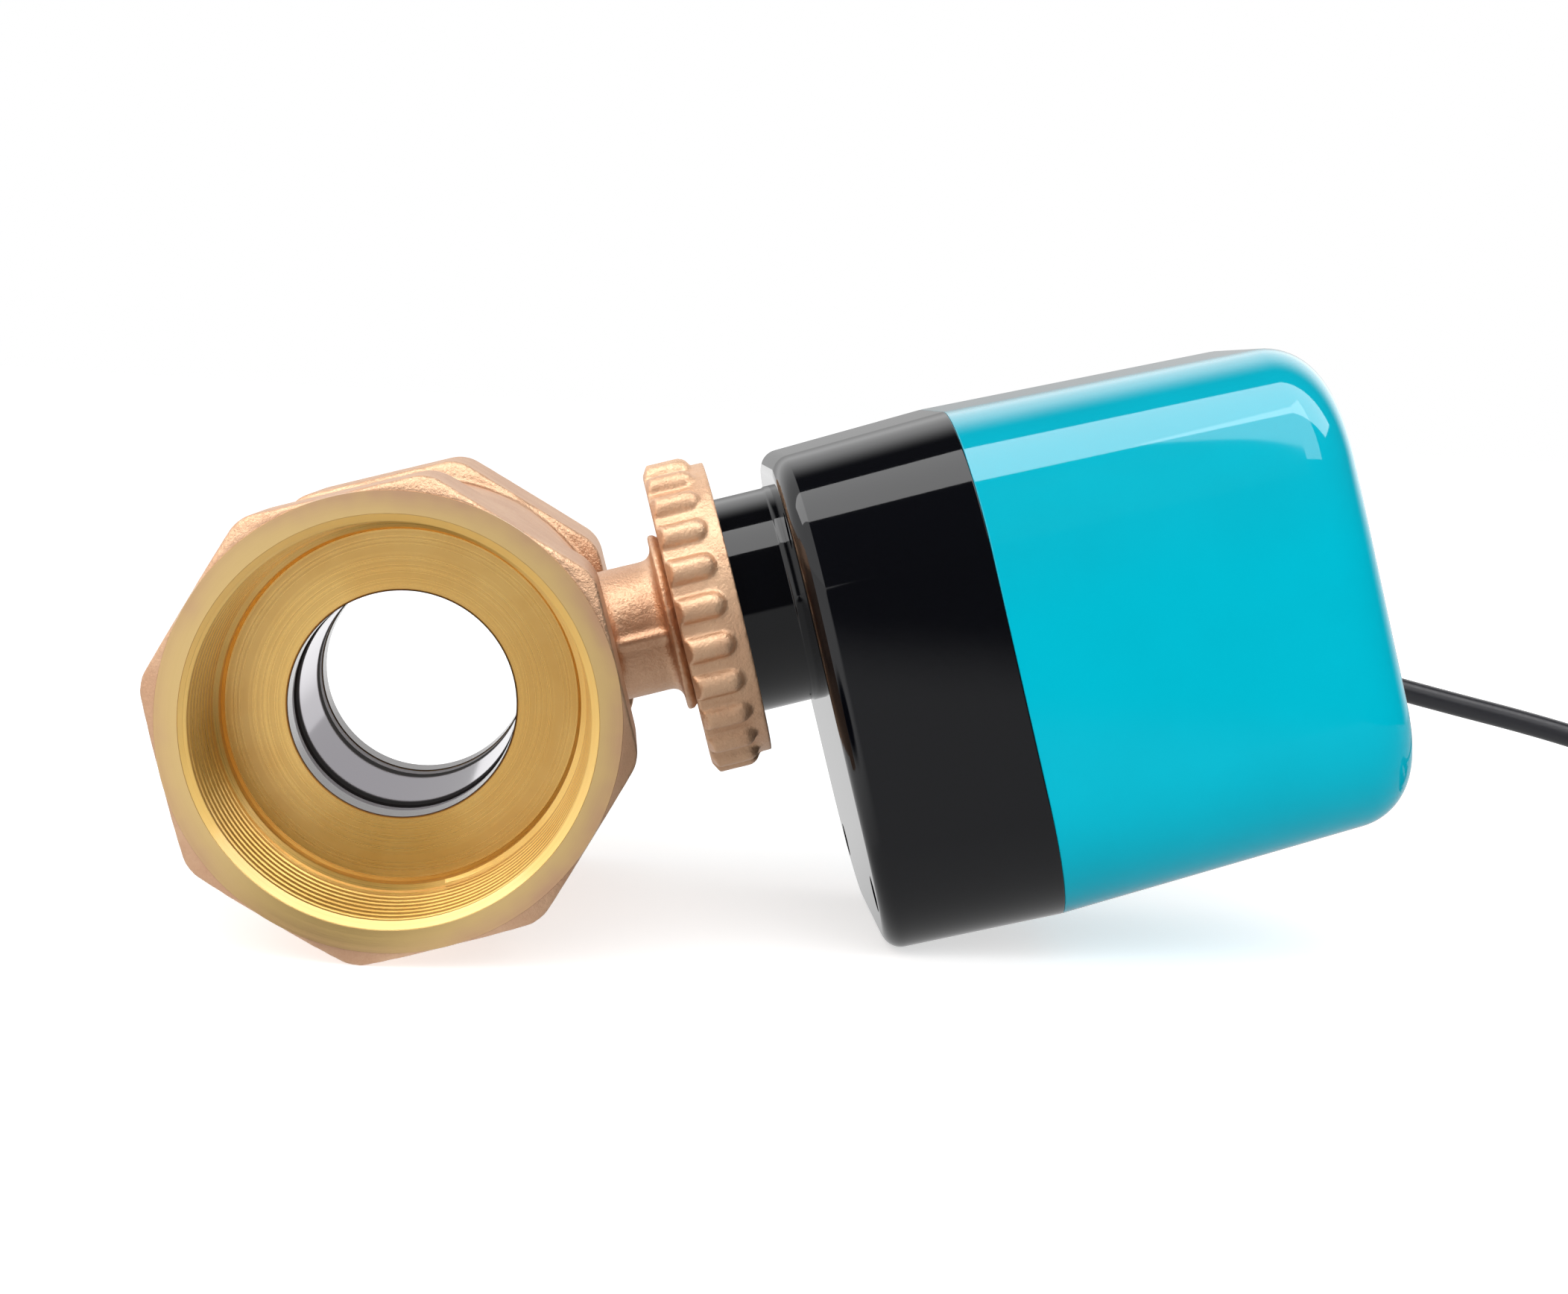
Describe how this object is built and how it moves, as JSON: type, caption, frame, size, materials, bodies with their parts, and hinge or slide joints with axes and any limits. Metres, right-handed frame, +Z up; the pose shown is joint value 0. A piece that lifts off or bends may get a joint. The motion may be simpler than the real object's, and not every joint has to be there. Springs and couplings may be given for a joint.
{
  "type": "motorized ball valve",
  "caption": "Two inch brass ball valve on its side, with a geared quarter-turn actuator in a two-part housing, a union nut and a free cable.",
  "frame": {"origin": "middle of the valve's outline on the bench it lies on, without the cable", "axes": "+X from the valve towards the actuator, +Y along the pipe to the outlet, +Z up"},
  "size_m": [0.3041, 0.1404, 0.0993],
  "materials": {
    "cast_brass": "as-cast, sand textured, with machined faces",
    "nut_brass": "as-cast ribs",
    "chrome": "polished",
    "ptfe": "smooth",
    "seal_rubber": "smooth",
    "steel": "turned",
    "black_plastic": "glossy moulded",
    "teal_plastic": "glossy moulded",
    "gear_plastic": "moulded",
    "plate_plastic": "moulded",
    "motor_steel": "plated",
    "switch_plastic": "moulded",
    "board": "lacquered",
    "component_blue": "smooth",
    "component_black": "smooth",
    "terminal_green": "moulded",
    "gland_plastic": "moulded",
    "cable_sheath": "satin",
    "core_wire": "insulated, tinned tips",
    "tie_plastic": "smooth"
  },
  "bodies": {
    "valve": {"valve_body": "cast_brass", "end_cap": "cast_brass", "body_seal": "seal_rubber", "seat_outlet": "ptfe", "seat_inlet": "ptfe", "stem_seals": "seal_rubber", "thrust_washer": "ptfe", "retaining_ring": "steel", "base_housing": "black_plastic", "cover": "teal_plastic", "cover_seal": "seal_rubber", "cover_screws": "steel", "shaft_bush": "gear_plastic", "idler_pin": "steel", "motor": "motor_steel", "motor_screws": "steel", "gear_plate": "plate_plastic", "plate_screws": "steel", "switch_open": "switch_plastic", "switch_close": "switch_plastic", "switch_screws": "steel", "board_pillars": "plate_plastic", "circuit_board": "board", "capacitor": "component_blue", "relay": "component_black", "terminal_block": "terminal_green", "gland_body": "gland_plastic", "gland_nut": "gland_plastic", "gland_seal": "seal_rubber", "gland_locknut": "gland_plastic", "inner_cable": "cable_sheath", "cable": "cable_sheath", "cable_coil": "cable_sheath", "coil_tie": "tie_plastic", "wire_ends": "core_wire"},
    "ball_train": {"ball": "chrome", "stem": "steel", "output_shaft": "steel", "output_gear": "gear_plastic", "cam_open": "gear_plastic", "cam_close": "gear_plastic"},
    "idler": {"idler_gear": "gear_plastic"},
    "motor_drive": {"motor_pinion": "steel", "motor_shaft": "steel"},
    "coupling_nut": {"union_nut": "nut_brass"},
    "open_plunger": {"plunger_open": "gear_plastic"},
    "close_plunger": {"plunger_close": "gear_plastic"}
  },
  "joints": [
    {"name": "ball_turn", "type": "hinge", "parent": "valve", "child": "ball_train", "pos_m": [-0.06221, 0, 0.03617], "axis": [0.9565, 0, 0.2918], "range_deg": [-90, 0]},
    {"name": "idler_spin", "type": "hinge", "parent": "valve", "child": "idler", "pos_m": [0.01736, 0.00859, 0.03579], "axis": [0.9565, 0, 0.2918], "range_deg": [0, 231.43]},
    {"name": "motor_spin", "type": "hinge", "parent": "valve", "child": "motor_drive", "pos_m": [0.0223, -0.00562, 0.01959], "axis": [0.9565, 0, 0.2918], "range_deg": [-495.92, 0]},
    {"name": "nut_turn", "type": "hinge", "parent": "valve", "child": "coupling_nut", "pos_m": [-0.01439, 0, 0.05076], "axis": [0.9565, 0, 0.2918], "continuous": true},
    {"name": "open_press", "type": "slide", "parent": "valve", "child": "open_plunger", "axis": [0, 1, 0], "range_m": [0, 0.0008], "stiffness_N_per_m": 100, "springref_m": -0.0005},
    {"name": "close_press", "type": "slide", "parent": "valve", "child": "close_plunger", "axis": [0, 1, 0], "range_m": [0, 0.0008], "stiffness_N_per_m": 100, "springref_m": -0.0005}
  ],
  "couplings": [
    {"joint": "idler_spin", "follows": "ball_turn", "ratio": -2.5714},
    {"joint": "motor_spin", "follows": "ball_turn", "ratio": 5.5102}
  ]
}
